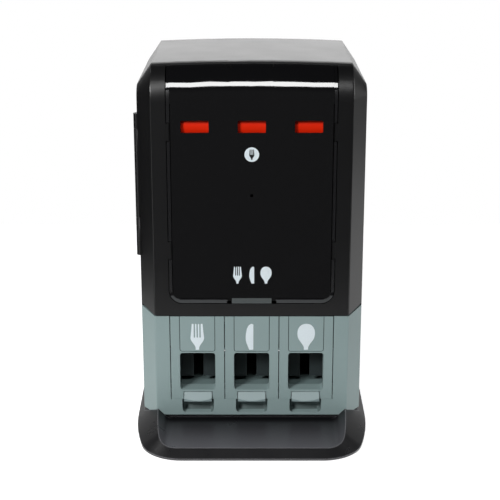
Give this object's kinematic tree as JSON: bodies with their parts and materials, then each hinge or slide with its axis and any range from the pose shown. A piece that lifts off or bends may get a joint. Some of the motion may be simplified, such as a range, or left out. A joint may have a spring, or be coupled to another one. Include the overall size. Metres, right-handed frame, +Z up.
{
  "type": "cutlery dispenser",
  "caption": "Free-standing cutlery dispenser with a hinged front door, level flags, press levers over finger scoops, sprung ejectors and a catch tray.",
  "frame": {"origin": "middle of the bounding box's bottom face, on the surface it stands on", "axes": "+Z up, -Y towards the user at the catch tray, +X to the user's right"},
  "size_m": [0.2754, 0.3078, 0.433],
  "materials": {
    "charcoal_plastic": "fine moulded grain, charcoal",
    "black_plastic": "satin moulded black",
    "black_plastic_rear": "plain moulded black",
    "gloss_black_plastic": "polished black",
    "sage_plastic": "satin sage grey",
    "sage_label": "satin sage grey",
    "sage_lever": "satin sage grey, a shade lighter",
    "grey_plastic": "moulded grey",
    "dark_grey_plastic": "moulded dark grey",
    "natural_plastic": "grey acetal",
    "pale_print": "pale print",
    "red_plastic": "bright red",
    "bright_steel": "ground steel",
    "zinc_steel": "zinc plated",
    "spring_steel": "drawn wire",
    "ferrite": "sintered grey",
    "rubber": "soft black"
  },
  "bodies": {
    "dispenser": {"base_tray": "charcoal_plastic", "rubber_feet": "rubber", "base_screws": "zinc_steel", "lower_housing": "sage_plastic", "lever_axle": "bright_steel", "rear_housing": "black_plastic", "back_panel": "black_plastic_rear", "back_panel_screws": "zinc_steel", "door_hinge_pin": "bright_steel", "door_magnet": "ferrite", "fork_lane_plate": "sage_plastic", "fork_label": "sage_label", "fork_symbol": "pale_print", "fork_chute": "grey_plastic", "fork_magazine": "dark_grey_plastic", "fork_return_spring": "spring_steel", "knife_lane_plate": "sage_plastic", "knife_label": "sage_label", "knife_symbol": "pale_print", "knife_chute": "grey_plastic", "knife_magazine": "dark_grey_plastic", "knife_return_spring": "spring_steel", "spoon_lane_plate": "sage_plastic", "spoon_label": "sage_label", "spoon_symbol": "pale_print", "spoon_chute": "grey_plastic", "spoon_magazine": "dark_grey_plastic", "spoon_return_spring": "spring_steel"},
    "door": {"door_frame": "black_plastic", "front_panel": "gloss_black_plastic", "keeper_plate": "zinc_steel", "flag_bracket": "black_plastic_rear", "flag_rod": "bright_steel"},
    "fork_lever": {"fork_lever": "sage_lever"},
    "fork_ejector": {"fork_ejector": "natural_plastic"},
    "fork_flag": {"fork_flag": "red_plastic"},
    "knife_lever": {"knife_lever": "sage_lever"},
    "knife_ejector": {"knife_ejector": "natural_plastic"},
    "knife_flag": {"knife_flag": "red_plastic"},
    "spoon_lever": {"spoon_lever": "sage_lever"},
    "spoon_ejector": {"spoon_ejector": "natural_plastic"},
    "spoon_flag": {"spoon_flag": "red_plastic"}
  },
  "joints": [
    {"name": "door_hinge", "type": "hinge", "parent": "dispenser", "child": "door", "pos_m": [-0.1304, -0.0306, 0.2907], "axis": [0, 0, -1], "range_deg": [0, 115]},
    {"name": "fork_lever_press", "type": "hinge", "parent": "dispenser", "child": "fork_lever", "pos_m": [-0.064, -0.0341, 0.036], "axis": [1, 0, 0], "range_deg": [0, 25], "stiffness_Nm_per_rad": 0.2, "springref_deg": -20.05},
    {"name": "fork_ejector_slide", "type": "slide", "parent": "dispenser", "child": "fork_ejector", "axis": [0, -1, 0], "range_m": [0, 0.0195], "deforming": ["fork_return_spring"]},
    {"name": "fork_flag_tilt", "type": "hinge", "parent": "door", "child": "fork_flag", "pos_m": [-0.064, -0.0271, 0.364], "axis": [1, 0, 0], "range_deg": [0, 40]},
    {"name": "knife_lever_press", "type": "hinge", "parent": "dispenser", "child": "knife_lever", "pos_m": [0, -0.0341, 0.036], "axis": [1, 0, 0], "range_deg": [0, 25], "stiffness_Nm_per_rad": 0.2, "springref_deg": -20.05},
    {"name": "knife_ejector_slide", "type": "slide", "parent": "dispenser", "child": "knife_ejector", "axis": [0, -1, 0], "range_m": [0, 0.0195], "deforming": ["knife_return_spring"]},
    {"name": "knife_flag_tilt", "type": "hinge", "parent": "door", "child": "knife_flag", "pos_m": [0, -0.0271, 0.364], "axis": [1, 0, 0], "range_deg": [0, 40]},
    {"name": "spoon_lever_press", "type": "hinge", "parent": "dispenser", "child": "spoon_lever", "pos_m": [0.064, -0.0341, 0.036], "axis": [1, 0, 0], "range_deg": [0, 25], "stiffness_Nm_per_rad": 0.2, "springref_deg": -20.05},
    {"name": "spoon_ejector_slide", "type": "slide", "parent": "dispenser", "child": "spoon_ejector", "axis": [0, -1, 0], "range_m": [0, 0.0195], "deforming": ["spoon_return_spring"]},
    {"name": "spoon_flag_tilt", "type": "hinge", "parent": "door", "child": "spoon_flag", "pos_m": [0.064, -0.0271, 0.364], "axis": [1, 0, 0], "range_deg": [0, 40]}
  ],
  "couplings": [
    {"joint": "fork_ejector_slide", "follows": "fork_lever_press", "m_per_rad": 0.044644},
    {"joint": "knife_ejector_slide", "follows": "knife_lever_press", "m_per_rad": 0.044644},
    {"joint": "spoon_ejector_slide", "follows": "spoon_lever_press", "m_per_rad": 0.044644}
  ]
}
